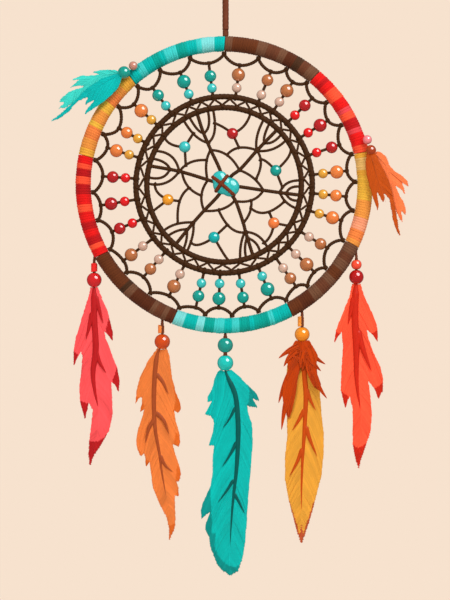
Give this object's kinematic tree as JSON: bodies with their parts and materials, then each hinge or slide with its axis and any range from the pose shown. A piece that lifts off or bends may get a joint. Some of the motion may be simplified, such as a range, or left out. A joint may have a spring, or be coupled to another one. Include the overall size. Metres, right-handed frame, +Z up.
{
  "type": "dream catcher",
  "caption": "Hanging wall ornament: a yarn-wrapped hoop with a laced web, beads and feathers that swing from short cords, hung from a cord loop.",
  "frame": {"origin": "the point inside the hanging loop where a nail or hook bears", "axes": "+Z up along the hanging cord, +X to the viewer's right, the front facing -Y"},
  "size_m": [0.2398, 0.018, 0.4351],
  "materials": {
    "hanging_cord": "matt twisted cord",
    "hoop_core": "bare bent cane",
    "brown_yarn": "matt wound yarn in bands of brown",
    "red_yarn": "matt wound yarn in bands of red",
    "orange_yarn": "matt wound yarn in bands of orange",
    "turquoise_yarn": "matt wound yarn in bands of turquoise",
    "web_thread": "waxed thread",
    "stone": "polished turquoise nugget",
    "dark_red_bead": "glossy opaque bead",
    "light_turquoise_bead": "glossy opaque bead",
    "amber_bead": "glossy opaque bead",
    "teal_blue_bead": "glossy opaque bead",
    "orange_bead": "glossy opaque bead",
    "dark_teal_bead": "glossy opaque bead",
    "rose_feather": "dyed feather, soft sheen",
    "orange_feather": "dyed feather, soft sheen",
    "turquoise_feather": "dyed feather, soft sheen",
    "yellow_feather": "dyed feather, soft sheen",
    "rust_down": "dyed down",
    "coral_feather": "dyed feather, soft sheen",
    "rust_feather": "dyed feather, soft sheen",
    "burnt_orange_bead": "glossy opaque bead",
    "pink_bead": "glossy opaque bead",
    "rose_brown_bead": "glossy opaque bead",
    "red_thread": "wound thread",
    "orange_thread": "wound thread"
  },
  "bodies": {
    "hanger": {"hanging_cord": "hanging_cord", "hanging_loop": "hanging_cord"},
    "hitch": {"hoop_hitch": "hanging_cord"},
    "hoop": {"hoop_core": "hoop_core", "wrap_top_right_brown": "brown_yarn", "wrap_right_red": "red_yarn", "wrap_right_orange": "orange_yarn", "wrap_lower_right_brown": "brown_yarn", "wrap_bottom_turquoise": "turquoise_yarn", "wrap_lower_left_brown": "brown_yarn", "wrap_left_red": "red_yarn", "wrap_left_orange": "orange_yarn", "wrap_top_left_turquoise": "turquoise_yarn", "lacing_top_right_brown": "web_thread", "lacing_right_red": "web_thread", "lacing_right_orange": "web_thread", "lacing_lower_right_brown": "web_thread", "lacing_bottom_turquoise": "web_thread", "lacing_lower_left_brown": "web_thread", "lacing_left_red": "web_thread", "lacing_left_orange": "web_thread", "lacing_top_left_turquoise": "web_thread", "outer_ring": "web_thread", "inner_ring": "web_thread", "ring_zigzag": "web_thread", "web": "web_thread", "centre_stone": "stone", "web_bead_dark_red": "dark_red_bead", "web_bead_light_turquoise": "light_turquoise_bead", "web_bead_amber": "amber_bead", "web_bead_teal_blue": "teal_blue_bead", "web_bead_orange": "orange_bead", "web_bead_dark_teal": "dark_teal_bead", "left_tuft_small_bead": "rose_brown_bead", "right_tuft_small_bead": "pink_bead"},
    "left_outer_line": {"left_outer_cord": "hanging_cord", "left_outer_sleeve": "red_thread"},
    "left_outer_bead_body": {"left_outer_bead": "dark_red_bead"},
    "left_outer_plume": {"left_outer_feather": "rose_feather"},
    "left_inner_line": {"left_inner_cord": "hanging_cord", "left_inner_sleeve": "orange_thread"},
    "left_inner_bead_body": {"left_inner_bead": "burnt_orange_bead"},
    "left_inner_plume": {"left_inner_feather": "orange_feather"},
    "middle_line": {"middle_cord": "hanging_cord"},
    "middle_upper_bead_body": {"middle_upper_bead": "dark_teal_bead"},
    "middle_lower_bead_body": {"middle_lower_bead": "teal_blue_bead"},
    "middle_plume": {"middle_feather": "turquoise_feather"},
    "right_inner_line": {"right_inner_cord": "hanging_cord", "right_inner_sleeve": "orange_thread"},
    "right_inner_bead_body": {"right_inner_bead": "amber_bead"},
    "right_inner_plume": {"right_inner_feather": "yellow_feather", "right_inner_down": "rust_down"},
    "right_outer_line": {"right_outer_cord": "hanging_cord"},
    "right_outer_small_bead_body": {"right_outer_small_bead": "orange_bead"},
    "right_outer_bead_body": {"right_outer_bead": "dark_red_bead"},
    "right_outer_plume": {"right_outer_feather": "coral_feather"},
    "left_tuft": {"left_tuft_bead": "dark_teal_bead", "left_tuft_feathers": "turquoise_feather"},
    "right_tuft": {"right_tuft_bead": "burnt_orange_bead", "right_tuft_feathers": "rust_feather"}
  },
  "joints": [
    {"name": "hoop_turn", "type": "hinge", "parent": "hanger", "child": "hitch", "pos_m": [0.001, 0, -0.0638], "axis": [0, 0, 1], "range_deg": [-90, 90]},
    {"name": "hoop_rock", "type": "hinge", "parent": "hitch", "child": "hoop", "pos_m": [0.001, 0, -0.0732], "axis": [1, 0, 0], "range_deg": [-20, 20]},
    {"name": "left_outer_swing", "type": "hinge", "parent": "hoop", "child": "left_outer_line", "pos_m": [-0.0874, 0, -0.21971], "axis": [1, 0, 0], "range_deg": [-40, 40]},
    {"name": "left_outer_bead_turn", "type": "hinge", "parent": "left_outer_line", "child": "left_outer_bead_body", "pos_m": [-0.0874, 0, -0.232], "axis": [0, 0, 1], "range_deg": [-90, 90]},
    {"name": "left_outer_feather_sway", "type": "hinge", "parent": "left_outer_bead_body", "child": "left_outer_plume", "pos_m": [-0.0874, 0, -0.23555], "axis": [0, 1, 0], "range_deg": [-4, 4]},
    {"name": "left_inner_swing", "type": "hinge", "parent": "hoop", "child": "left_inner_line", "pos_m": [-0.0416, 0, -0.26064], "axis": [1, 0, 0], "range_deg": [-40, 40]},
    {"name": "left_inner_bead_turn", "type": "hinge", "parent": "left_inner_line", "child": "left_inner_bead_body", "pos_m": [-0.0416, 0, -0.2735], "axis": [0, 0, 1], "range_deg": [-90, 90]},
    {"name": "left_inner_feather_sway", "type": "hinge", "parent": "left_inner_bead_body", "child": "left_inner_plume", "pos_m": [-0.0416, 0, -0.2772], "axis": [0, 1, 0], "range_deg": [-4, 4]},
    {"name": "middle_swing", "type": "hinge", "parent": "hoop", "child": "middle_line", "pos_m": [0.0008, 0, -0.26955], "axis": [1, 0, 0], "range_deg": [-40, 40]},
    {"name": "middle_upper_bead_turn", "type": "hinge", "parent": "middle_line", "child": "middle_upper_bead_body", "pos_m": [0.0008, 0, -0.2759], "axis": [0, 0, 1], "range_deg": [-90, 90]},
    {"name": "middle_lower_bead_turn", "type": "hinge", "parent": "middle_line", "child": "middle_lower_bead_body", "pos_m": [0.0008, 0, -0.2878], "axis": [0, 0, 1], "range_deg": [-90, 90]},
    {"name": "middle_feather_sway", "type": "hinge", "parent": "middle_lower_bead_body", "child": "middle_plume", "pos_m": [0.0008, 0, -0.29165], "axis": [0, 1, 0], "range_deg": [-4, 4]},
    {"name": "right_inner_swing", "type": "hinge", "parent": "hoop", "child": "right_inner_line", "pos_m": [0.0525, 0, -0.25493], "axis": [1, 0, 0], "range_deg": [-40, 40]},
    {"name": "right_inner_bead_turn", "type": "hinge", "parent": "right_inner_line", "child": "right_inner_bead_body", "pos_m": [0.0525, 0, -0.2686], "axis": [0, 0, 1], "range_deg": [-90, 90]},
    {"name": "right_inner_feather_sway", "type": "hinge", "parent": "right_inner_bead_body", "child": "right_inner_plume", "pos_m": [0.0525, 0, -0.27215], "axis": [0, 1, 0], "range_deg": [-4, 4]},
    {"name": "right_outer_swing", "type": "hinge", "parent": "hoop", "child": "right_outer_line", "pos_m": [0.089, 0, -0.2169], "axis": [1, 0, 0], "range_deg": [-40, 40]},
    {"name": "right_outer_small_bead_turn", "type": "hinge", "parent": "right_outer_line", "child": "right_outer_small_bead_body", "pos_m": [0.089, 0, -0.2217], "axis": [0, 0, 1], "range_deg": [-90, 90]},
    {"name": "right_outer_bead_turn", "type": "hinge", "parent": "right_outer_line", "child": "right_outer_bead_body", "pos_m": [0.089, 0, -0.23], "axis": [0, 0, 1], "range_deg": [-90, 90]},
    {"name": "right_outer_feather_sway", "type": "hinge", "parent": "right_outer_bead_body", "child": "right_outer_plume", "pos_m": [0.089, 0, -0.2334], "axis": [0, 1, 0], "range_deg": [-4, 4]},
    {"name": "left_tuft_swing", "type": "hinge", "parent": "hoop", "child": "left_tuft", "pos_m": [-0.0668, -0.0086, -0.0936], "axis": [0, 1, 0], "range_deg": [-15, 15]},
    {"name": "right_tuft_swing", "type": "hinge", "parent": "hoop", "child": "right_tuft", "pos_m": [0.098, -0.0079, -0.1455], "axis": [0, 1, 0], "range_deg": [-15, 15]}
  ]
}
